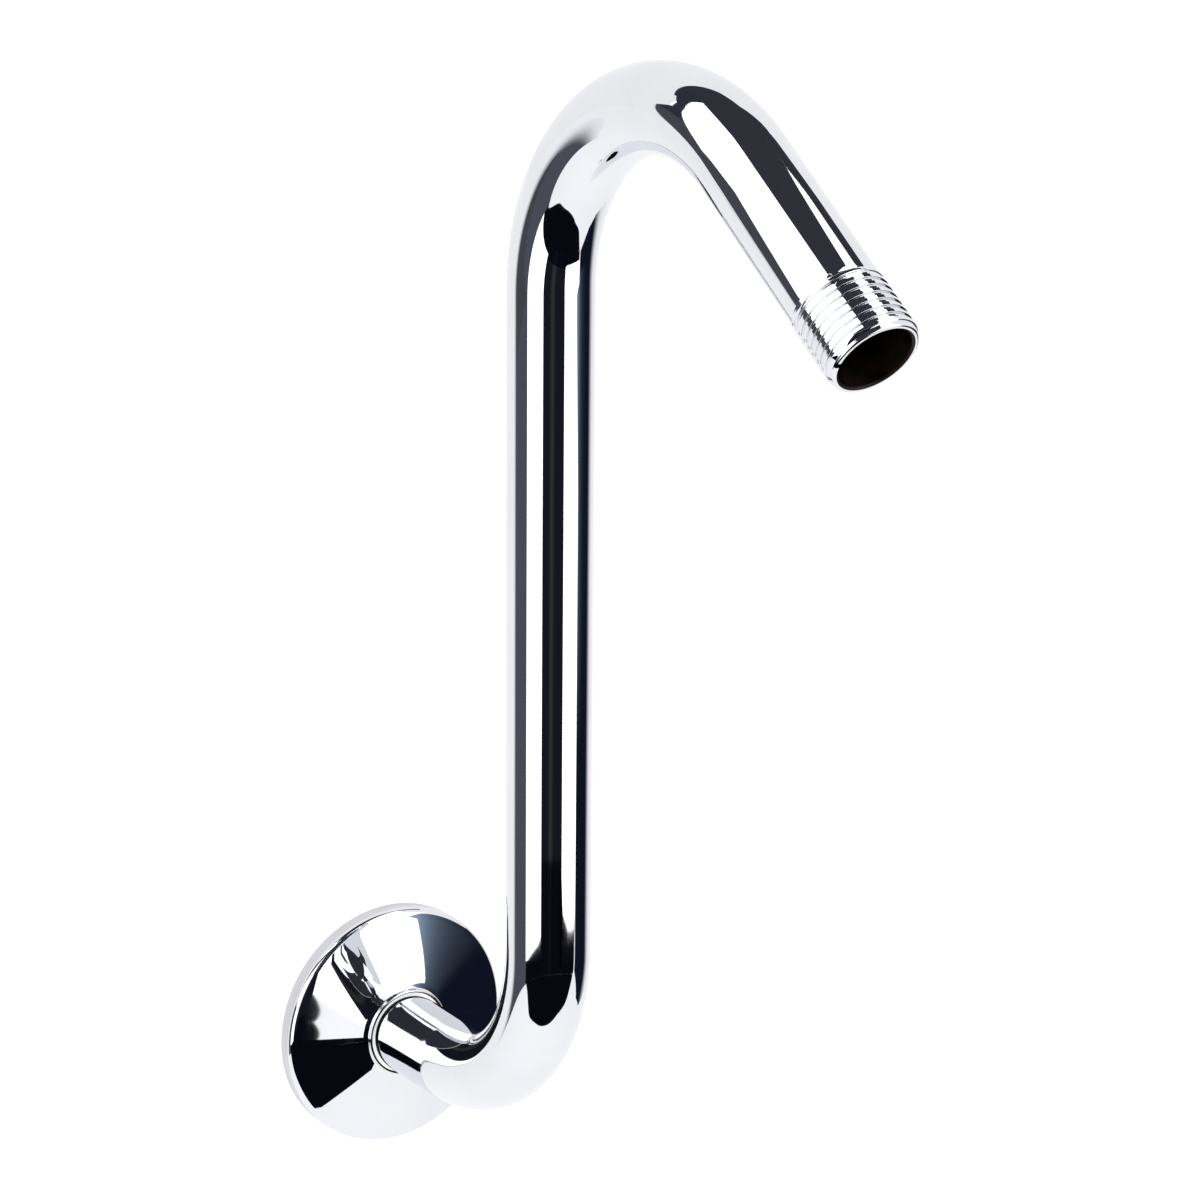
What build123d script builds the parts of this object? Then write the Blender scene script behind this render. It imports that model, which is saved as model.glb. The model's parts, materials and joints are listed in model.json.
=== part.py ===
"""A rising shower arm: one bent tube with a pipe thread at each end, and a loose cover flange on its stub.

Frame, in millimetres: the wall's face is the plane X = 0 and +X points out of the wall. The stub's axis is
the X axis, so the origin is the centre of the flange's back edge. +Z is up, and the tube bends in Y = 0.
"""
import os

from build123d import *

# Tube
tube_diameter = 21.0
bore_diameter = 17.2
bore_edge_break = 0.3

# Centre line, from the inlet end in the wall to the outlet end
inlet_reach = 22.0
stub_length = 32.7
bend_radius = 46.0
lower_bend = 90.0
riser_length = 163.5
upper_bend = 128.0
outlet_leg_length = 57.0

# Half inch pipe thread, cut on both ends of the tube
thread_diameter = 21.3
thread_length = 17.0
thread_run_out = 0.6
end_chamfer_depth = 0.8
end_chamfer_length = 1.4

# Cover flange, pressed from sheet
flange_diameter = 65.5
flange_height = 11.3
sheet_thickness = 0.8
rim_round = 1.6
rim_height = 5.25
collar_clearance = 0.6
collar_height = 0.9
collar_root_round = 0.5
collar_lip_round = 0.35
bend_margin = 0.8

tube_radius = tube_diameter / 2
bore_radius = bore_diameter / 2
thread_radius = thread_diameter / 2
flange_radius = flange_diameter / 2
collar_bore_radius = tube_radius + collar_clearance
collar_radius = collar_bore_radius + sheet_thickness


def centre_line(start_trim, end_trim):
    """The tube's centre line in the plane Y = 0, shortened by a length at each end."""
    with BuildLine(Plane.XZ) as route:
        stub = Line((start_trim - inlet_reach, 0), (stub_length, 0))
        low = JernArc(stub @ 1, stub % 1, bend_radius, lower_bend)
        riser = PolarLine(low @ 1, riser_length, lower_bend)
        high = JernArc(riser @ 1, riser % 1, bend_radius, -upper_bend)
        PolarLine(high @ 1, outlet_leg_length - end_trim, lower_bend - upper_bend)
    return route.wire()


def rod_along(route, radius):
    """A solid round bar that follows a route."""
    return sweep(Plane(route @ 0, z_dir=route % 0) * Circle(radius), path=route)


def threaded_end():
    """The threaded length of the tube, still solid, with its end face on Z = 0 and its crests at full diameter."""
    outline = Polyline(
        (0, 0),
        (thread_radius - end_chamfer_depth, 0),
        (thread_radius, end_chamfer_length),
        (thread_radius, thread_length - thread_run_out),
        (tube_radius, thread_length),
        (0, thread_length),
        close=True,
    )
    return revolve(Plane.XZ * make_face(outline), Axis.Z)


def bore_mouth():
    """The cutter that breaks the bore's sharp edge at an end face on Z = 0."""
    return Cone(
        bore_radius + bore_edge_break,
        bore_radius,
        bore_edge_break,
        align=(Align.CENTER, Align.CENTER, Align.MIN),
    )


def make_arm():
    """The bent tube, one piece from the inlet thread to the outlet thread."""
    whole = centre_line(0, 0)
    inlet_end = Plane(whole @ 0, z_dir=whole % 0)
    outlet_end = Plane(whole @ 1, z_dir=-(whole % 1))
    arm = rod_along(centre_line(thread_length, thread_length), tube_radius)
    arm += inlet_end * threaded_end()
    arm += outlet_end * threaded_end()
    arm -= rod_along(whole, bore_radius)
    arm -= inlet_end * bore_mouth()
    arm -= outlet_end * bore_mouth()
    return arm


def make_flange():
    """The cover flange: an upright rim, a shallow cone and a small collar drawn up round the tube."""
    rim_corner = (rim_height, flange_radius)
    collar_root = (flange_height - collar_height, collar_radius)
    with BuildSketch(Plane.XZ) as section:
        with BuildLine():
            face = FilletPolyline(
                (0, flange_radius),
                rim_corner,
                collar_root,
                (flange_height, collar_radius),
                radius=[rim_round, collar_root_round],
            )
            offset(face, amount=sheet_thickness, side=Side.RIGHT)
        make_face()
        fillet(section.vertices().group_by(Axis.X)[-1], collar_lip_round)
    return revolve(section.sketch, Axis.X)


def main():
    os.makedirs("parts", exist_ok=True)
    nodes = {"arm": make_arm(), "flange": make_flange()}
    for name, solid in nodes.items():
        export_step(solid, f"parts/{name}.step")
        box = solid.bounding_box()
        print(name, solid.is_valid, len(solid.solids()), round(solid.volume, 2), box.min, box.max)
    outlet = centre_line(0, 0)
    print("outlet end", outlet @ 1, "direction", outlet % 1)
    print("flange travel", stub_length - flange_height - bend_margin)


main()
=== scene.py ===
# %% [markdown]
# # A chrome shower arm, from bare frame to studio picture
#
# The object is a rising shower arm: one bent brass tube with a pipe thread at each end, and a loose cover
# flange that hides the hole in the wall. Both are polished and chrome plated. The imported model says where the
# pieces are and how large, and this lesson adds what makes the part look real: a true thread, thin walls,
# rounded edges, plated metal, and a studio for the metal to reflect.

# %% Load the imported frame
import json
import math

import bmesh
import bpy
from mathutils import Matrix, Vector


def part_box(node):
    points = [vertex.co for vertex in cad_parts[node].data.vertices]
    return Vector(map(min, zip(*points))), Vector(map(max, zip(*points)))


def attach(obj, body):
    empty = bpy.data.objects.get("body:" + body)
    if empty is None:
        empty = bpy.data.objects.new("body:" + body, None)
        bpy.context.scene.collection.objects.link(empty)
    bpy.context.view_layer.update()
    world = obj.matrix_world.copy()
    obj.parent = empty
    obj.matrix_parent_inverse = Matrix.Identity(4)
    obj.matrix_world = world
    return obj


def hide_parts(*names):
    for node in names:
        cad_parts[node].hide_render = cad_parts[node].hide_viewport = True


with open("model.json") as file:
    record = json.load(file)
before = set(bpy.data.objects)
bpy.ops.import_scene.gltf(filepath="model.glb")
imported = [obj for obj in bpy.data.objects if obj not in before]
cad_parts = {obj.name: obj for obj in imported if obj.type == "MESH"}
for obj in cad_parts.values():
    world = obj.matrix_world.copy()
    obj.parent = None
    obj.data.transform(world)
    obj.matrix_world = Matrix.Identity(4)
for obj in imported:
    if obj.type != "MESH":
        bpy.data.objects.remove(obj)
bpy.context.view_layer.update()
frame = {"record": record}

# %% [markdown]
# ## The driving sizes
#
# A bent tube is fully described by its centre line and its two radii. The centre line is a straight stub, a
# quarter bend, a straight riser, a larger bend and a straight leg. These few lengths, in metres, are the
# ones the maker would set on a tube bender. The radii of the bore and of the thread's crests come from the
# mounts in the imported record, so that the picture and the part agree.

# %% Sizes in metres
MM = 0.001
mounts = {mount["name"]: mount for mount in frame["record"]["mounts"]}

tube_radius = 10.5 * MM
bore_radius = mounts["outlet_bore"]["dims"]["r_mm"] * MM
crest_radius = mounts["outlet_thread"]["dims"]["r_mm"] * MM

inlet_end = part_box("arm")[0].x
stub_length = 32.7 * MM
bend_radius = 46.0 * MM
lower_bend = math.radians(90)
riser_length = 163.5 * MM
upper_bend = math.radians(128)
outlet_leg_length = 57.0 * MM

riser_x = stub_length + bend_radius
lower_centre = Vector((stub_length, 0, bend_radius))
upper_centre = Vector((riser_x + bend_radius, 0, bend_radius + riser_length))
leg_direction = Vector((math.sin(upper_bend), 0, math.cos(upper_bend)))
leg_start = upper_centre + bend_radius * Vector((-math.cos(upper_bend), 0, math.sin(upper_bend)))
outlet_end = leg_start + outlet_leg_length * leg_direction
print("outlet end", [round(c / MM, 2) for c in outlet_end], "mm")

# %% [markdown]
# ## The camera
#
# The picture is taken from the right, a little above the object, with a long lens. The picture's centre
# isn't where the lens points, because the frame was cropped, so the camera is shifted by that much and no
# more. A shift keeps upright lines upright, which turning the camera would not.

# %% Camera
image_size = 1200
lens_point_x = 493.0
lens_point_y = 553.34
focal_pixels = 3078.8
view_azimuth = math.radians(57.477)
view_elevation = math.radians(13.546)
view_target = Vector((53.4, 0, 140.9)) * MM
view_distance = 759.2 * MM

view_back = Vector((
    math.sin(view_azimuth) * math.cos(view_elevation),
    -math.cos(view_azimuth) * math.cos(view_elevation),
    math.sin(view_elevation),
))
camera_data = bpy.data.cameras.new("studio_camera")
camera_data.sensor_width = 36
camera_data.lens = camera_data.sensor_width * focal_pixels / image_size
camera_data.shift_x = (image_size / 2 - lens_point_x) / image_size
camera_data.shift_y = (lens_point_y - image_size / 2) / image_size
camera = bpy.data.objects.new("studio_camera", camera_data)
camera.location = view_target + view_distance * view_back
camera.rotation_euler = view_back.to_track_quat("Z", "Y").to_euler()
bpy.context.scene.collection.objects.link(camera)
bpy.context.scene.camera = camera
print("lens", round(camera_data.lens, 1), "mm")
print("shift", round(camera_data.shift_x, 3), round(camera_data.shift_y, 3))

# %% [markdown]
# ## Shader maths that reads like maths
#
# Materials are graphs of nodes. Adding each node by hand takes many lines, so one small class wraps a
# socket: an expression such as `1 - mask * 0.5` adds the Math nodes that it needs, and `add` makes any
# other node.


# %% A socket that does maths
class Wire:
    """One output of a shader node. Maths on it adds Math nodes, and add() makes any other node."""

    def __init__(self, tree, socket=None):
        self.tree = tree
        self.socket = socket

    def feed(self, target, value):
        """Links a wire to an input, or sets a plain value on it."""
        if isinstance(value, Wire):
            self.tree.links.new(value.socket, target)
        else:
            target.default_value = value

    def add(self, kind, settings=None, inputs=None, output=0):
        """A new node with its settings, then its inputs, and a wire from one of its outputs."""
        node = self.tree.nodes.new(kind)
        for name, value in (settings or {}).items():
            setattr(node, name, value)
        for name, value in (inputs or {}).items():
            self.feed(node.inputs[name], value)
        return Wire(self.tree, node.outputs[output])

    def math(self, operation, first, second):
        return self.add("ShaderNodeMath", {"operation": operation}, {0: first, 1: second})

    def __add__(self, other):
        return self.math("ADD", self, other)

    def __sub__(self, other):
        return self.math("SUBTRACT", self, other)

    def __mul__(self, other):
        return self.math("MULTIPLY", self, other)

    def __radd__(self, other):
        return self.math("ADD", other, self)

    def __rsub__(self, other):
        return self.math("SUBTRACT", other, self)

    def __rmul__(self, other):
        return self.math("MULTIPLY", other, self)

    def between(self, low, high):
        """0 below low, 1 above high, and a smooth step in between."""
        settings = {"interpolation_type": "SMOOTHSTEP"}
        inputs = {"Value": self, "From Min": low, "From Max": high}
        return self.add("ShaderNodeMapRange", settings, inputs)


def new_material(name):
    """A node material with its first wire and its surface shader."""
    material = bpy.data.materials.new(name)
    material.use_nodes = True
    tree = material.node_tree
    return material, Wire(tree), tree.nodes["Principled BSDF"]


print("shader maths ready")

# %% [markdown]
# ## Chrome plate
#
# Chrome is a metal, so it has no colour of its own under the shine: its base colour is what share of the
# light it mirrors, here four fifths with a touch of blue. A perfect mirror looks like a drawing, so the
# polish varies: a soft haze, where the buffing wheel and fingers went, and a faint ripple in the surface
# that bends the edges of reflections by a hair. Both are noise on Object coordinates, so they stay with the
# metal from every side. The flange's wide cone stretches what it mirrors, which makes any unevenness plain,
# so it has less of both than the tube. Its upright rim is satin, by a roughness that changes along X.

# %% Chrome recipe
polished_colour = (0.80, 0.815, 0.85)
satin_colour = (0.66, 0.65, 0.69)
satin_roughness = 0.3
satin_edge = 0.3 * MM
haze_scale = 45.0
haze_share = 0.75
haze_tint = 0.25
grain_scale = 900.0
ripple_scale = 70.0


def noise(wire, place, scale, detail):
    return wire.add("ShaderNodeTexNoise", inputs={"Vector": place, "Scale": scale, "Detail": detail})


def mix_colour(wire, share, first, second):
    """The first colour, or wire of colours, where the share is 0, and the second colour where it is 1."""
    first = first if isinstance(first, Wire) else (*first, 1)
    return wire.add("ShaderNodeMix", {"data_type": "RGBA"}, {0: share, 6: first, 7: (*second, 1)}, 2)


def chrome_plate(name, haze_low, haze_high, ripple_depth, rim_top=None):
    """Plated metal. Below rim_top, a height along X, it is satin instead of polished."""
    material, wire, shader = new_material(name)
    place = wire.add("ShaderNodeTexCoord", output="Object")
    haze = noise(wire, place, haze_scale, 4.0).between(0.35, 0.7) * haze_share
    haze = haze + noise(wire, place, grain_scale, 2.0).between(0.45, 0.75) * (1 - haze_share)
    rough = haze * (haze_high - haze_low) + haze_low
    dulled = haze * haze_tint
    if rim_top:
        along = wire.add("ShaderNodeSeparateXYZ", inputs={"Vector": place}, output="X")
        satin = 1 - along.between(rim_top - satin_edge, rim_top)
        rough = rough + satin * (satin_roughness - haze_low)
        dulled = dulled * (1 - satin) + satin
    wire.feed(shader.inputs["Roughness"], rough)
    wire.feed(shader.inputs["Base Color"], mix_colour(wire, dulled, polished_colour, satin_colour))
    swell = noise(wire, place, ripple_scale, 1.0)
    bump = wire.add("ShaderNodeBump", inputs={"Height": swell, "Distance": ripple_depth, "Strength": 1.0})
    wire.feed(shader.inputs["Normal"], bump)
    shader.inputs["Metallic"].default_value = 1.0
    return material


print("chrome recipe ready")

# %% Chrome on the tube and the flange
tube_ripple = 0.004 * MM
flange_ripple = 0.001 * MM
rim_height = 5.25 * MM
rim_round = 1.6 * MM
tube_chrome = chrome_plate("tube_chrome", 0.02, 0.045, tube_ripple)
flange_chrome = chrome_plate("flange_chrome", 0.016, 0.026, flange_ripple, rim_height - rim_round)
print("made", tube_chrome.name, flange_chrome.name)

# %% [markdown]
# ## Bare metal inside
#
# Plating reaches only the outside. The bore is bare brass with a brown tint, and its colour is nearly black:
# painted shade for the dark inside the tube. The hollow back of the flange is unpolished sheet. Both use one
# recipe: two close colours mixed by noise, with the roughness and a fine bump following the same noise, as
# stains do. The inside of the flange's collar, which faces the tube across a narrow gap, takes the same nearly
# black colour, as painted shade in the gap.

# %% Dull metal inside
stain_scale = 160.0
stain_depth = 0.02 * MM
stain_roughness = 0.12


def dull_metal(name, dark, light, rough):
    """Unpolished metal, stained from a dark to a lighter colour."""
    material, wire, shader = new_material(name)
    place = wire.add("ShaderNodeTexCoord", output="Object")
    cloud = noise(wire, place, stain_scale, 6.0)
    stain = cloud.between(0.35, 0.7)
    wire.feed(shader.inputs["Base Color"], mix_colour(wire, stain, dark, light))
    wire.feed(shader.inputs["Roughness"], rough + stain * stain_roughness)
    bump = wire.add("ShaderNodeBump", inputs={"Height": cloud, "Distance": stain_depth, "Strength": 1.0})
    wire.feed(shader.inputs["Normal"], bump)
    shader.inputs["Metallic"].default_value = 0.8
    return material


# Near-black colours: painted shade for the dark inside the tube and the collar's gap, on a brown brass tint.
brass_painted_shade = dull_metal("brass_painted_shade", (0.012, 0.007, 0.005), (0.035, 0.02, 0.012), 0.42)
sheet_back = dull_metal("sheet_back", (0.42, 0.42, 0.43), (0.55, 0.55, 0.56), 0.3)
print("made", brass_painted_shade.name, sheet_back.name)

# %% [markdown]
# ## Rings round an axis
#
# Nearly every surface here is turned: rings of points about an axis, joined in rows. A modifier could turn a
# curve, but a few small functions on rings give each edge its exact place: draw a ring, step it to a new
# place and radius, and round the edge that is left.

# %% Ring helpers
segments = 96
weld_distance = 0.004 * MM


def ring_of(geom):
    """The vertices and edges of an operator's result."""
    verts = [g for g in geom if isinstance(g, bmesh.types.BMVert)]
    edges = [g for g in geom if isinstance(g, bmesh.types.BMEdge)]
    return verts, edges


def circle_about_x(bm, x, radius):
    """A ring of edges round the X axis."""
    turn = Matrix.Translation((x, 0, 0)) @ Matrix.Rotation(math.radians(90), 4, "Y")
    verts = bmesh.ops.create_circle(bm, segments=segments, radius=radius, matrix=turn)["verts"]
    return list({edge for vert in verts for edge in vert.link_edges})


def step_ring(bm, edges, x, radius):
    """Extrudes a ring round the X axis to a new place along it and a new radius."""
    verts, edges = ring_of(bmesh.ops.extrude_edge_only(bm, edges=edges)["geom"])
    old = verts[0].co.copy()
    grow = radius / math.hypot(old.y, old.z)
    bmesh.ops.scale(bm, verts=verts, vec=(1, grow, grow))
    bmesh.ops.translate(bm, verts=verts, vec=(x - old.x, 0, 0))
    return edges


def ring_at(bm, x):
    """The ring of open edges that lies in one plane across the X axis."""
    tolerance = 0.5 * weld_distance
    return [e for e in bm.edges if e.is_boundary and all(abs(v.co.x - x) < tolerance for v in e.verts)]


def round_edges(bm, edges, offset, steps):
    """Rounds edges with a bevel of a few steps."""
    bmesh.ops.bevel(
        bm, geom=edges, offset=offset, offset_type="OFFSET", segments=steps, profile=0.5,
        affect="EDGES", material=-1,
    )


print("rings of", segments, "points")

# %% [markdown]
# ## The thread's profile
#
# Each end of the tube carries a pipe thread: a groove with a flat root, a flat crest and two sloping flanks,
# cut by a die. The groove starts shallow at the mouth, so that a nut finds its way on, and runs out where
# the die stopped. A texture could fake it, but the thread shows at the outline, so it is real here: one
# pitch of the profile as points, and a function that fades the groove at both ends.

# %% Thread sizes and profile
thread_pitch = 1.985 * MM
thread_depth = 0.42 * MM
thread_reach = 17.0 * MM
root_radius = crest_radius - thread_depth
root_share = 0.42
crest_share = 0.40
flat_rows = 3
flank_rows = 8
lead_band = 0.6 * MM
lead_fade = 1.4 * MM
lead_slope = 0.2
lead_radius = crest_radius - 0.7 * MM
run_out = 3.0 * MM


def smooth_step(value):
    """A soft change from 0 to 1 while the value goes from 0 to 1."""
    value = min(max(value, 0.0), 1.0)
    return value * value * (3 - 2 * value)


def stretch(start, length, rows, height):
    """Points along one stretch of the profile, with the height as a function of the share along it."""
    return [(start + length * row / rows, height(row / rows)) for row in range(rows)]


def thread_profile():
    """One pitch as pairs of a share along it and a height: a flat root, a flank, a flat crest and a flank."""
    flank_share = (1 - root_share - crest_share) / 2
    crest_start = root_share + flank_share
    fall_start = crest_start + crest_share
    points = stretch(0, root_share, flat_rows, lambda share: 0.0)
    points += stretch(root_share, flank_share, flank_rows, smooth_step)
    points += stretch(crest_start, crest_share, flat_rows, lambda share: 1.0)
    points += stretch(fall_start, flank_share, flank_rows, lambda share: smooth_step(1 - share))
    return points + [(fall_start + flank_share, 0.0)]


def thread_radius(back, cut_radius):
    """The groove dies out into the smooth lead at the mouth, and into the plain tube at the run-out."""
    at_mouth = smooth_step((back - lead_band) / lead_fade)
    at_tube = smooth_step((thread_reach - back) / run_out)
    lead = lead_radius + lead_slope * back
    radius = lead + (cut_radius - lead) * at_mouth
    return tube_radius + (radius - tube_radius) * at_tube


print("points in one pitch", len(thread_profile()))

# %% [markdown]
# ## A threaded end
#
# A thread is its profile turned about the tube while it moves along it, and the spin operator does just that
# when it is given a step along the axis as well as an angle. The profile is one pitch long, so each turn
# meets the next, and merging doubles joins them. The rows that run past either end are pushed back onto a
# flat plane and merged, which leaves clean rings of points to carry on from. The end is drawn in a frame of
# its own: the mouth at the origin, pointing along +X.

# %% Threaded end
mouth_round = 0.4 * MM
bore_break = 0.5 * MM
end_row = 0.3 * MM


def helical_turns(bm):
    """Spins one pitch into a full turn of the thread, and repeats the turn past both ends."""
    first = -thread_reach - thread_pitch
    profile = []
    for share, height in thread_profile():
        profile.append(bm.verts.new((first + share * thread_pitch, 0, root_radius + thread_depth * height)))
    lines = [bm.edges.new(pair) for pair in zip(profile, profile[1:])]
    advance = Vector((thread_pitch / segments, 0, 0))
    bmesh.ops.spin(
        bm, geom=profile + lines, cent=(0, 0, 0), axis=(1, 0, 0), dvec=advance,
        angle=2 * math.pi, steps=segments, use_merge=False,
    )
    one_turn = bm.verts[:] + bm.edges[:] + bm.faces[:]
    for turn in range(1, math.ceil(thread_reach / thread_pitch) + 2):
        copy = bmesh.ops.duplicate(bm, geom=one_turn)["geom"]
        bmesh.ops.translate(bm, verts=ring_of(copy)[0], vec=(turn * thread_pitch, 0, 0))


def trim_turns(bm, inner, outer):
    """Pushes the rows past either end onto its plane, and fades the groove at both ends."""
    for vert in bm.verts:
        vert.co.x = min(max(vert.co.x, inner), outer)
        cut_radius = math.hypot(vert.co.y, vert.co.z)
        grow = thread_radius(-vert.co.x, cut_radius) / cut_radius
        vert.co.y *= grow
        vert.co.z *= grow
    bmesh.ops.remove_doubles(bm, verts=bm.verts, dist=weld_distance)


def threaded_end():
    """One threaded tube end as a bmesh, open at its bore and where the plain tube joins it."""
    bm = bmesh.new()
    inner, outer = -thread_reach, -lead_band
    helical_turns(bm)
    trim_turns(bm, inner, outer)
    step_ring(bm, ring_at(bm, inner), inner - end_row, tube_radius)
    corner = step_ring(bm, ring_at(bm, outer), 0, lead_radius)
    face = step_ring(bm, corner, 0, bore_radius + bore_break)
    bore_edge = step_ring(bm, face, -bore_break, bore_radius)
    for edge in bore_edge:
        edge.link_faces[0].material_index = 1
    round_edges(bm, corner, mouth_round, steps=5)
    return bm


end_mesh = bpy.data.meshes.new("threaded_end")
end_bm = threaded_end()
print("thread vertices", len(end_bm.verts), "open edges", sum(e.is_boundary for e in end_bm.edges))
end_bm.to_mesh(end_mesh)
end_bm.free()

# %% [markdown]
# ## The bent tube
#
# A tube bender draws a straight tube round a die. The same steps work on a ring of points: extrude it along
# the straight runs, and spin it about the die's centre for the bends. The outer skin and the bore follow
# the same path, so one function makes both. Short rows along the runs keep the reflections true.

# %% Runs and bends
row_length = 4 * MM
bend_step = math.radians(2)


def straight_run(bm, edges, direction, length):
    """Extrudes a ring along a straight run, in short rows."""
    rows = math.ceil(length / row_length)
    for _ in range(rows):
        verts, edges = ring_of(bmesh.ops.extrude_edge_only(bm, edges=edges)["geom"])
        bmesh.ops.translate(bm, verts=verts, vec=direction * (length / rows))
    return edges


def bent_run(bm, edges, centre, axis, angle):
    """Spins a ring round the centre of a bend."""
    verts = list({vert for edge in edges for vert in edge.verts})
    made = bmesh.ops.spin(
        bm, geom=verts + edges, cent=centre, axis=axis, dvec=(0, 0, 0),
        angle=angle, steps=round(angle / bend_step), use_merge=False,
    )
    return ring_of(made["geom_last"])[1]


def tube_skin(bm, radius, start_back, end_back):
    """A skin of one radius along the whole bent tube, from and to a distance back from the two ends."""
    start_x = inlet_end + start_back
    ring = circle_about_x(bm, start_x, radius)
    ring = straight_run(bm, ring, Vector((1, 0, 0)), stub_length - start_x)
    ring = bent_run(bm, ring, lower_centre, (0, -1, 0), lower_bend)
    ring = straight_run(bm, ring, Vector((0, 0, 1)), riser_length)
    ring = bent_run(bm, ring, upper_centre, (0, 1, 0), upper_bend)
    straight_run(bm, ring, leg_direction, outlet_leg_length - end_back)


def place_end(bm, end, direction):
    """Adds a threaded end at a place, pointing along a direction in the plane of the bends."""
    before = set(bm.verts)
    bm.from_mesh(end_mesh)
    added = [vert for vert in bm.verts if vert not in before]
    turn = Matrix.Rotation(math.atan2(-direction.z, direction.x), 4, "Y")
    bmesh.ops.transform(bm, matrix=Matrix.Translation(end) @ turn, verts=added)


print("bends of", round(lower_bend / bend_step), "and", round(upper_bend / bend_step), "steps")

# %% Arm
sharp_angle = math.radians(38)


def new_piece(bm, name, materials):
    """Turns a bmesh into an object in the scene, with its materials."""
    mesh = bpy.data.meshes.new(name)
    bm.to_mesh(mesh)
    bm.free()
    for material in materials:
        mesh.materials.append(material)
    piece = bpy.data.objects.new(name, mesh)
    bpy.context.scene.collection.objects.link(piece)
    return piece


def smooth_piece(bm, name, materials):
    """A piece with smooth shading, apart from its sharp edges."""
    piece = new_piece(bm, name, materials)
    piece.data.shade_smooth()
    piece.data.set_sharp_from_angle(angle=sharp_angle)
    return piece


arm_bm = bmesh.new()
tube_skin(arm_bm, bore_radius, bore_break, bore_break)
for face in arm_bm.faces:
    face.material_index = 1
tube_skin(arm_bm, tube_radius, thread_reach + end_row, thread_reach + end_row)
place_end(arm_bm, Vector((inlet_end, 0, 0)), Vector((-1, 0, 0)))
place_end(arm_bm, outlet_end, leg_direction)
bmesh.ops.remove_doubles(arm_bm, verts=arm_bm.verts, dist=weld_distance)
bmesh.ops.recalc_face_normals(arm_bm, faces=arm_bm.faces)
print("arm faces", len(arm_bm.faces), "open edges", sum(not e.is_manifold for e in arm_bm.edges))
arm = smooth_piece(arm_bm, "chrome_arm", [tube_chrome, brass_painted_shade])
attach(arm, "arm")
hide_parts("arm")

# %% [markdown]
# ## The cover flange
#
# The flange is pressed from thin sheet: a rim that stands on the wall, a straight cone and a short collar
# round the tube. One line through the sheet's outer face has all of its shape, with its corners rounded by
# a bevel. Spinning that line makes the outer face, and solidify then gives the sheet its thickness, so the
# hollow back is as real as the front.

# %% Flange sizes
flange_segments = 160
flange_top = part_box("flange")[1]
flange_radius = flange_top.z
flange_height = flange_top.x
sheet_thickness = 0.8 * MM
collar_clearance = 0.6 * MM
collar_radius = tube_radius + collar_clearance + sheet_thickness
collar_height = 0.9 * MM
collar_root_round = 0.5 * MM
lip_round = 0.35 * MM
back_round = 0.15 * MM
cone_rows = 12

cone_run = flange_radius - collar_radius
cone_rise = flange_height - collar_height - rim_height
cone_angle = math.atan2(cone_rise, cone_run)
corner_turn = math.radians(90) - cone_angle
print("cone", round(math.degrees(cone_angle), 1), "degrees")


# %% Flange sheet
def round_corner(bm, corner, radius, steps):
    """Rounds one corner of the flange's outline."""
    setback = radius * math.tan(corner_turn / 2)
    bmesh.ops.bevel(
        bm, geom=[corner], offset=setback, offset_type="OFFSET", segments=steps, profile=0.5,
        affect="VERTICES", material=-1,
    )


def is_round(edge):
    """True where both ends of an edge are as far from the X axis, so that it runs round it."""
    near, far = [math.hypot(v.co.y, v.co.z) for v in edge.verts]
    return abs(near - far) < weld_distance


def edges_in_plane(bm, x):
    """The edges that go round the X axis in one plane across it."""
    return [e for e in bm.edges if all(abs(v.co.x - x) < weld_distance for v in e.verts) and is_round(e)]


flange_bm = bmesh.new()
outline = [
    (0, flange_radius),
    (rim_height, flange_radius),
    (flange_height - collar_height, collar_radius),
    (flange_height, collar_radius),
]
corners = [flange_bm.verts.new((x, 0, radius)) for x, radius in outline]
for pair in zip(corners, corners[1:]):
    flange_bm.edges.new(pair)
_, rim_corner, collar_corner, _ = corners
round_corner(flange_bm, rim_corner, rim_round, steps=12)
round_corner(flange_bm, collar_corner, collar_root_round, steps=6)
cone_line = max(flange_bm.edges, key=lambda edge: edge.calc_length())
bmesh.ops.subdivide_edges(flange_bm, edges=[cone_line], cuts=cone_rows)
bmesh.ops.spin(
    flange_bm, geom=flange_bm.verts[:] + flange_bm.edges[:], cent=(0, 0, 0), axis=(1, 0, 0), dvec=(0, 0, 0),
    angle=2 * math.pi, steps=flange_segments, use_merge=True,
)
bmesh.ops.remove_doubles(flange_bm, verts=flange_bm.verts, dist=weld_distance)
bmesh.ops.recalc_face_normals(flange_bm, faces=flange_bm.faces)
print("flange faces before thickness", len(flange_bm.faces))
bmesh.ops.solidify(flange_bm, geom=flange_bm.faces[:], thickness=sheet_thickness)
round_edges(flange_bm, edges_in_plane(flange_bm, flange_height), lip_round, steps=4)
round_edges(flange_bm, edges_in_plane(flange_bm, 0), back_round, steps=2)

# %% [markdown]
# ## Plate outside, bare metal inside
#
# The plate covers the flange's outer face, up to the top of the collar's lip. The hollow back is bare, and
# the inside of the collar is painted near-black, as painted shade in the gap round the tube. Which is which
# follows from where a face lies and which way it faces, so no face has to be picked by hand.

# %% Flange
collar_depth = 2.2 * MM
collar_inside_facing = 0.1
level_facing = 0.999
back_facing = -0.3
wall_facing = -0.5


def flange_finish(face):
    """The place of a face's material in the flange's list: 0 plate, 1 bare sheet, 2 painted shade of the gap.
    """
    middle = face.calc_center_median()
    outward = face.normal.dot(Vector((0, middle.y, middle.z)).normalized())
    in_collar = middle.x > flange_height - collar_depth
    # Faces inside the collar get the painted shade of the narrow gap round the tube.
    if outward < collar_inside_facing and in_collar and abs(face.normal.x) < level_facing:
        return 2
    if outward < back_facing or face.normal.x < wall_facing:
        return 1
    return 0


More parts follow.
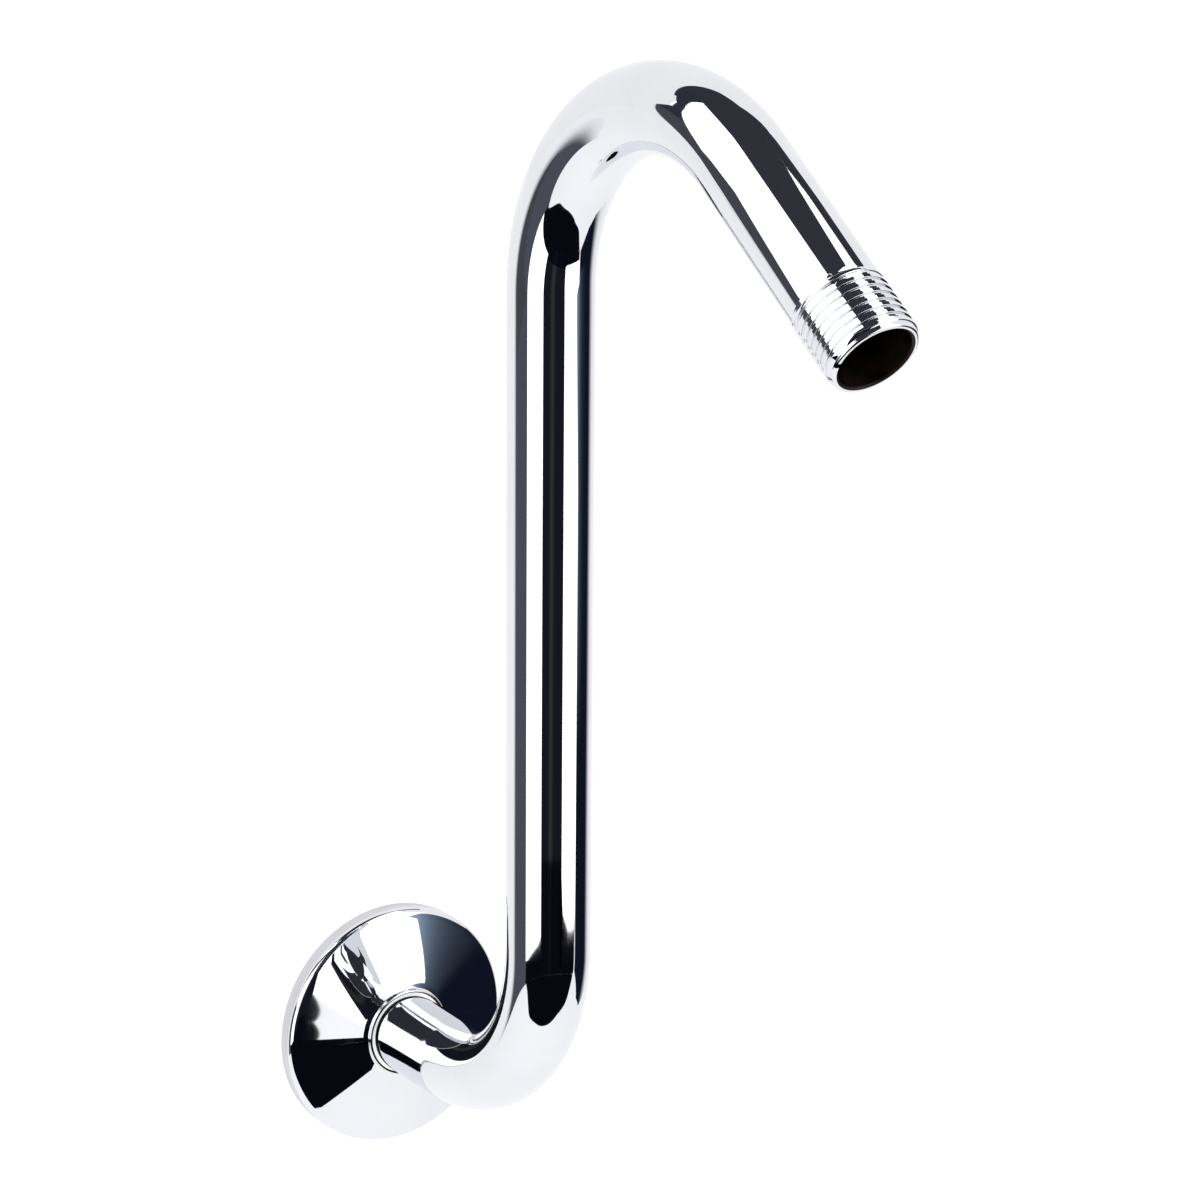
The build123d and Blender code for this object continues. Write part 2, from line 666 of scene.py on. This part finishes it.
for face in flange_bm.faces:
    face.material_index = flange_finish(face)
print("flange faces", len(flange_bm.faces), "open edges", sum(not e.is_manifold for e in flange_bm.edges))
flange = smooth_piece(flange_bm, "chrome_flange", [flange_chrome, sheet_back, brass_painted_shade])
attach(flange, "flange")
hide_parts("flange")

# %% [markdown]
# ## The studio
#
# Polished chrome has no look of its own: it shows the room. The room here is a plain white one with a pale
# floor, and cards stand in it where a photographer puts them: black cards to draw dark edges down the tube,
# and bright soft panels beside them. The cards are hidden from the camera and shown only in the metal.

# %% White room
room_light = 0.9


def seen_directly(wire):
    """1 for rays from the camera, off a mirror or through glass."""
    seen = wire.add("ShaderNodeLightPath", output="Is Camera Ray")
    seen = seen + wire.add("ShaderNodeLightPath", output="Is Glossy Ray")
    return seen + wire.add("ShaderNodeLightPath", output="Is Transmission Ray")


world = bpy.data.worlds.new("white_room")
bpy.context.scene.world = world
world.use_nodes = True
room = Wire(world.node_tree)
backdrop = world.node_tree.nodes["Background"]
backdrop.inputs["Color"].default_value = (1, 1, 1, 1)
room.feed(backdrop.inputs["Strength"], seen_directly(room).between(0, 1) * (1 - room_light) + room_light)
print("room light", room_light, "and 1 where it is seen")

# %% Floor
floor_z = -0.6
floor_size = 300.0
floor_glow = 0.2


def stage_piece(bm, name, material):
    """A piece of the studio, which is no part of the object."""
    piece = new_piece(bm, name, [material])
    return piece


floor_paint, wire, shader = new_material("pale_floor")
shader.inputs["Base Color"].default_value = (0.9, 0.9, 0.9, 1)
shader.inputs["Roughness"].default_value = 0.9
shader.inputs["Emission Strength"].default_value = 1.0
wire.feed(shader.inputs["Emission Color"], seen_directly(wire).between(0, 1) * floor_glow)
floor_bm = bmesh.new()
bmesh.ops.create_grid(floor_bm, x_segments=1, y_segments=1, size=floor_size / 2)
bmesh.ops.translate(floor_bm, verts=floor_bm.verts, vec=(0, 0, floor_z))
stage_piece(floor_bm, "floor", floor_paint)
print("floor at", floor_z, "m")

# %% [markdown]
# ## What the metal sees
#
# A photographer who shoots chrome builds a small room of cards round it. Two tall soft boxes stand either
# side of the camera, with the dark gap of the camera between them. A black strip lies in front, a dark card
# stands at the right and a grey one at the left, and a dark sheet hangs above. Each card here is a sheet
# that glows with the colour it should show, and some fade across, as cloth in uneven light does. Lamps could
# do the same, but a card's edge is what draws a line down the tube, and a card gives that edge its exact
# place.


# %% Card paint
def card_place(wire):
    """The height of a point on a card, and its direction from the riser in degrees."""
    spot = wire.add("ShaderNodeTexCoord", output="Object")
    x, y, z = [wire.add("ShaderNodeSeparateXYZ", inputs={"Vector": spot}, output=axis) for axis in "XYZ"]
    return z, wire.math("ARCTAN2", y, x - riser_x) * math.degrees(1)


def card_paint(name, colour, *fades):
    """A glow of one colour. A fade is a function for the share of another colour, and that colour."""
    material = bpy.data.materials.new(name)
    material.use_nodes = True
    tree = material.node_tree
    tree.nodes.clear()
    wire = Wire(tree)
    glow = colour
    for share, other in fades:
        glow = mix_colour(wire, share(*card_place(wire)), glow, other)
    glow = glow if fades else (*colour, 1)
    surface = wire.add("ShaderNodeEmission", inputs={"Color": glow, "Strength": 1.0})
    wire.feed(tree.nodes.new("ShaderNodeOutputMaterial").inputs["Surface"], surface)
    return material


black_paint = card_paint("black_paint", (0.003, 0.003, 0.006))
print("made", black_paint.name)

# %% Faded paints
pale = (0.95, 0.95, 0.97)
glow_start = 34.0
half_glow_turn = 4.0


def gap_fade(z, turn):
    """A little light in the middle of the gap."""
    return turn.between(-38, -29) * (1 - turn.between(-29, -20))


def near_glow(z, turn):
    """The right card's upper part is lit by the soft box next to it, half as much each few degrees on."""
    return turn.math("POWER", 0.5, (turn - glow_start) * (1 / half_glow_turn)) * z.between(-0.14, -0.06)


def far_fade(z, turn):
    """The right card's far edge melts into the room."""
    return turn.between(80, 102)


def left_fade(z, turn):
    """The grey card fades into the room at its far edge and its top."""
    return 1 - turn.between(-142, -132) * (1 - z.between(0.11, 0.145) * 0.4)


gap_paint = card_paint("gap_paint", (0.010, 0.010, 0.016), (gap_fade, (0.035, 0.035, 0.035)))
right_paint = card_paint(
    "right_paint", (0.006, 0.008, 0.018), (near_glow, (0.6, 0.78, 1.0)), (far_fade, pale),
)
left_paint = card_paint("left_paint", (0.08, 0.083, 0.105), (left_fade, pale))
grey_paint = card_paint("grey_paint", (0.065, 0.067, 0.08))
dark_paint = card_paint("dark_paint", (0.03, 0.032, 0.045))
ceiling_paint = card_paint("ceiling_paint", (0.036, 0.035, 0.046))
tongue_paint = card_paint("tongue_paint", (1.2, 1.2, 1.2))
white_paint = card_paint("white_paint", (1.8, 1.8, 1.8))
print("made", gap_paint.name, right_paint.name, left_paint.name, "and the plain paints")

# %% [markdown]
# ## Making cards
#
# Two kinds of card are enough. One is bent round the riser at a distance, with its corners given as
# directions and heights, because that is how a reflection in an upright tube is read. The other is flat.
# Both show only in the metal. A flag held in front of a piece keeps a card's light off it, and light linking
# does the same: it lets a card shine on one piece alone.

# %% Card makers
card_columns = 24
card_rows = 8


def only_in_metal(piece):
    """Hides a card from the camera and from soft light, so that it shows only as a reflection."""
    piece.visible_camera = False
    piece.visible_diffuse = False
    piece.visible_transmission = False
    piece.visible_shadow = False
    return piece


def level_edge(left, right, height):
    """A card's level edge, from one direction to another in degrees, as two corners."""
    return (left, height), (right, height)


def standing_card(name, paint, distance, low_edge, high_edge):
    """A card bent round the riser at a distance, between a low and a high edge."""
    bm = bmesh.new()
    bmesh.ops.create_grid(bm, x_segments=card_columns, y_segments=card_rows, size=1)
    (low_left, low_right), (high_left, high_right) = low_edge, high_edge
    for vert in bm.verts:
        across, up = (vert.co.x + 1) / 2, (vert.co.y + 1) / 2
        low = Vector(low_left).lerp(Vector(low_right), across)
        high = Vector(high_left).lerp(Vector(high_right), across)
        turn, height = low.lerp(high, up)
        turn = math.radians(turn)
        vert.co = (riser_x + distance * math.cos(turn), distance * math.sin(turn), height)
    return only_in_metal(stage_piece(bm, name, paint))


def flat_card(name, paint, corners):
    """A flat card between its corners."""
    bm = bmesh.new()
    bm.faces.new([bm.verts.new(corner) for corner in corners])
    return only_in_metal(stage_piece(bm, name, paint))


def level_card(name, paint, height, corners):
    """A level card with its corners given from the riser's axis."""
    return flat_card(name, paint, [(riser_x + x, y, height) for x, y in corners])


def shine_on(piece, *cards):
    """Lets cards shine on one piece alone, as black flags held in front of the other pieces would."""
    lit = bpy.data.collections.new(piece.name + "_lit")
    lit.objects.link(piece)
    for card in cards:
        card.light_linking.receiver_collection = lit


print("card makers ready")

# %% [markdown]
# ## Soft boxes
#
# A tall bright panel either side of the camera draws the two white stripes down the riser. The right one ends
# in two narrower pieces, so that its stripe has a rounded foot. The flange sits a little askew on its loose
# fit in the picture, so it mirrors a bright spot that the tube doesn't. Turning the flange would move its
# edges too, so it stays square and has two small cards to itself.

# %% Soft boxes
ceiling_z = 1.85
box_distance = 0.78
tongue_distance = 0.785

left_box_low = (-131, -0.28), (-53, -0.238)
left_box_high = (-136, 1.75), (-53, 1.82)
right_box_low = level_edge(2, 44, -0.205)
right_foot_low = level_edge(5.5, 42.5, -0.225)
right_toe_low = level_edge(21, 38, -0.2355)
standing_card("left_box", white_paint, box_distance, left_box_low, left_box_high)
standing_card("right_box", white_paint, box_distance, right_box_low, level_edge(3, 44, ceiling_z))
standing_card("right_box_foot", white_paint, box_distance, right_foot_low, right_box_low)
standing_card("right_box_toe", white_paint, box_distance, right_toe_low, right_foot_low)

root_low = level_edge(-0.3, 4, -0.228)
tongue_low = level_edge(-0.6, 1.5, -0.315)
tongue_root = standing_card("tongue_root", tongue_paint, tongue_distance, root_low, level_edge(2, 4, -0.12))
tongue = standing_card("tongue", tongue_paint, tongue_distance, tongue_low, root_low)
shine_on(flange, tongue_root, tongue)
print("soft boxes at", box_distance, "m, and", tongue.name, "for", flange.name)

# %% [markdown]
# ## Dark cards
#
# Between the boxes is the dark gap where the camera stands, with a black skirt below it. The card at the
# right darkens one side of the flange, and the grey one at the left makes the grey stripe at the riser's
# left. A chain of narrow strips above that card carries the stripe on round the upper bend, and each strip
# starts at the edge where the one below it ends, so a loop makes them all.

# %% Dark cards
table_z = -0.36
skirt_distance = 0.79
strip_distance = 0.77
right_distance = 0.75
gap_top = 0.5
left_top = 0.145
right_foot = -0.31

standing_card("skirt", black_paint, skirt_distance, level_edge(-97, 41, table_z), level_edge(-97, 41, -0.2))
camera_gap_low = level_edge(-54, 5, table_z)
high_gap_low = level_edge(-65.5, 3, gap_top)
standing_card("camera_gap", gap_paint, skirt_distance, camera_gap_low, level_edge(-54, 5, gap_top))
standing_card("high_gap", ceiling_paint, strip_distance, high_gap_low, level_edge(-65.5, 3, 1.7))

foot_low = level_edge(66, 84, -0.5)
right_middle = level_edge(44, 108, 0)
standing_card("right_card_foot", right_paint, right_distance, foot_low, level_edge(43, 108, right_foot))
standing_card("right_card", right_paint, right_distance, level_edge(43.5, 108, right_foot), right_middle)
standing_card("right_card_top", right_paint, right_distance, right_middle, ((35, 0.1), (108, 0.16)))

left_low = level_edge(-142, -96, -0.35)
standing_card("left_card", left_paint, strip_distance, left_low, level_edge(-142, -96, left_top))
strips = [
    ("low_strip", grey_paint), ("mid_strip", dark_paint), ("high_strip", dark_paint),
    ("top_strip", dark_paint), ("upper_strip", dark_paint),
]
strip_edges = [
    level_edge(-137, -127, left_top), level_edge(-137, -127, 0.5), level_edge(-132.4, -127.7, 0.67),
    level_edge(-133, -127.9, 0.82), level_edge(-147, -132.5, 1.22), level_edge(-160, -136, 1.75),
]
for (name, paint), low_edge, high_edge in zip(strips, strip_edges, strip_edges[1:]):
    standing_card(name, paint, strip_distance, low_edge, high_edge)
print("left strip in", len(strips), "cards")

# %% [markdown]
# ## Overhead and on the table
#
# The bends turn the metal's face up and down, so they show what hangs above and lies below. A dark sheet
# hangs overhead, with a light above it. A black strip lies on the table, for the dark end of the riser's
# middle stripe and for the flange's black sector, and its near edge is cut round, because a bend shows each
# corner of it. One small grey card stands near the tube.

# %% Overhead and table cards
light_gap = 0.05


def rounded(points, passes=2):
    """Cuts the corners of an open outline again and again, so that none stays sharp."""
    points = [Vector(point) for point in points]
    for _ in range(passes):
        cut = [spot for a, b in zip(points, points[1:]) for spot in (a.lerp(b, 0.25), a.lerp(b, 0.75))]
        points = [points[0], *cut, points[-1]]
    return points


level_card("ceiling_card", ceiling_paint, ceiling_z, [
    (-1.4, -1.1), (0.858, -0.792), (0.14, 0.71), (0.075, 0.86), (0.03, 1.07), (0.3, 1.13), (0.3, 1.97),
    (-0.4, 1.95), (-0.22, 1.42), (-0.34, 0.75), (-0.6, 0.5),
])
level_card("ceiling_light", white_paint, ceiling_z + light_gap, [
    (-0.05, -0.8), (0.9, -0.8), (0.9, 1.3), (-0.05, 1.3),
])
near_edge = [
    (-0.06, -0.8), (0.01, -0.71), (0.06, -0.56), (0.09, -0.46), (0.13, -0.4), (0.19, -0.3), (0.24, -0.17),
    (0.3, -0.02), (0.345, 0.055), (0.36, 0.11), (0.385, 0.2), (0.415, 0.26), (0.47, 0.32), (0.6, 0.5),
]
far_turns = [turn / 10 for turn in range(6, -17, -1)]
far_edge = [(skirt_distance * math.cos(turn), skirt_distance * math.sin(turn)) for turn in far_turns]
level_card("black_strip", black_paint, table_z, rounded(near_edge) + far_edge)
flat_card("near_card", grey_paint, [
    (0.073, -0.145, 0.19), (-0.201, -0.298, 0.12), (-0.201, -0.298, 0.275), (0.073, -0.145, 0.275),
])

# %% [markdown]
# ## Soft light
#
# Everything so far shows in the metal only. The floor is plain paint, so it needs a lamp to have a shadow on
# it. One large square lamp above the camera is soft enough to leave no hard edge, and it is hidden from the
# metal, where it would add a square that no card stands for.

# %% Soft light
lamp_side = 0.8
lamp_power = 4.0

lamp_data = bpy.data.lights.new("soft_box", "AREA")
lamp_data.shape = "RECTANGLE"
lamp_data.size = lamp_side
lamp_data.size_y = lamp_side
lamp_data.energy = lamp_power
lamp = bpy.data.objects.new("soft_box", lamp_data)
lamp.location = (0.5, -0.6, 1.0)
lamp.rotation_euler = (lamp.location - view_target).to_track_quat("Z", "Y").to_euler()
lamp.visible_glossy = False
bpy.context.scene.collection.objects.link(lamp)
bpy.context.scene.view_settings.view_transform = "Standard"
print("lamp of", lamp_power, "W,", lamp_side, "m across")
